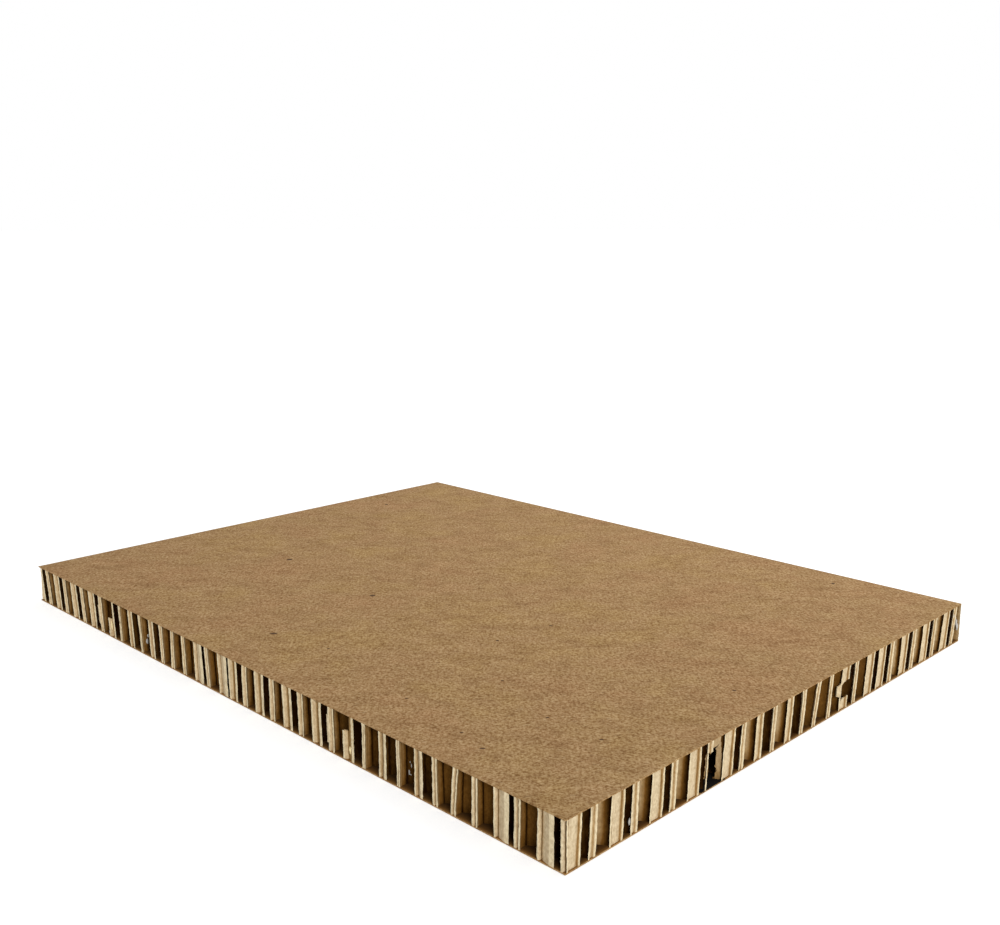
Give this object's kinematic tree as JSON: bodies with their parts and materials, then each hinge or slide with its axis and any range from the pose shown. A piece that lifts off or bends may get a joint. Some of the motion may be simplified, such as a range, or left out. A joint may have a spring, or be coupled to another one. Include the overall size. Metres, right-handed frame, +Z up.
{
  "type": "paper honeycomb board",
  "caption": "Flat rectangular sandwich board: two kraft paper liners glued to an open-edged core of upright paper strips in honeycomb cells.",
  "frame": {"origin": "middle of the underside, on the surface the board lies on", "axes": "+X along the long side, +Y along the short side (the paper strips run this way), +Z up through the thickness"},
  "size_m": [0.4, 0.3, 0.02],
  "materials": {
    "liner_kraft": "matt kraft liner with fine fibre and a few dark specks",
    "core_paper": "matt recycled paper, paler along the sawn edges"
  },
  "bodies": {
    "root": {"bottom_liner": "liner_kraft", "top_liner": "liner_kraft", "core_strips_01": "core_paper", "core_strips_02": "core_paper", "core_strips_03": "core_paper", "core_strips_04": "core_paper", "core_strips_05": "core_paper", "core_strips_06": "core_paper", "core_strips_07": "core_paper", "core_strips_08": "core_paper", "core_strips_09": "core_paper", "core_strips_10": "core_paper", "core_strips_11": "core_paper", "core_strips_12": "core_paper", "core_strips_13": "core_paper", "core_strips_14": "core_paper", "core_strips_15": "core_paper", "core_strips_16": "core_paper", "core_strips_17": "core_paper", "core_strips_18": "core_paper", "core_strips_19": "core_paper", "core_strips_20": "core_paper", "core_strips_21": "core_paper", "core_strips_22": "core_paper", "core_strips_23": "core_paper", "core_strips_24": "core_paper", "core_strips_25": "core_paper", "core_strips_26": "core_paper", "core_strips_27": "core_paper", "core_strips_28": "core_paper", "core_strips_29": "core_paper", "core_strips_30": "core_paper", "core_strips_31": "core_paper", "core_strips_32": "core_paper", "core_strips_33": "core_paper", "core_strips_34": "core_paper", "core_strips_35": "core_paper", "core_strips_36": "core_paper", "core_strips_37": "core_paper", "core_strips_38": "core_paper", "core_strips_39": "core_paper"}
  },
  "joints": []
}
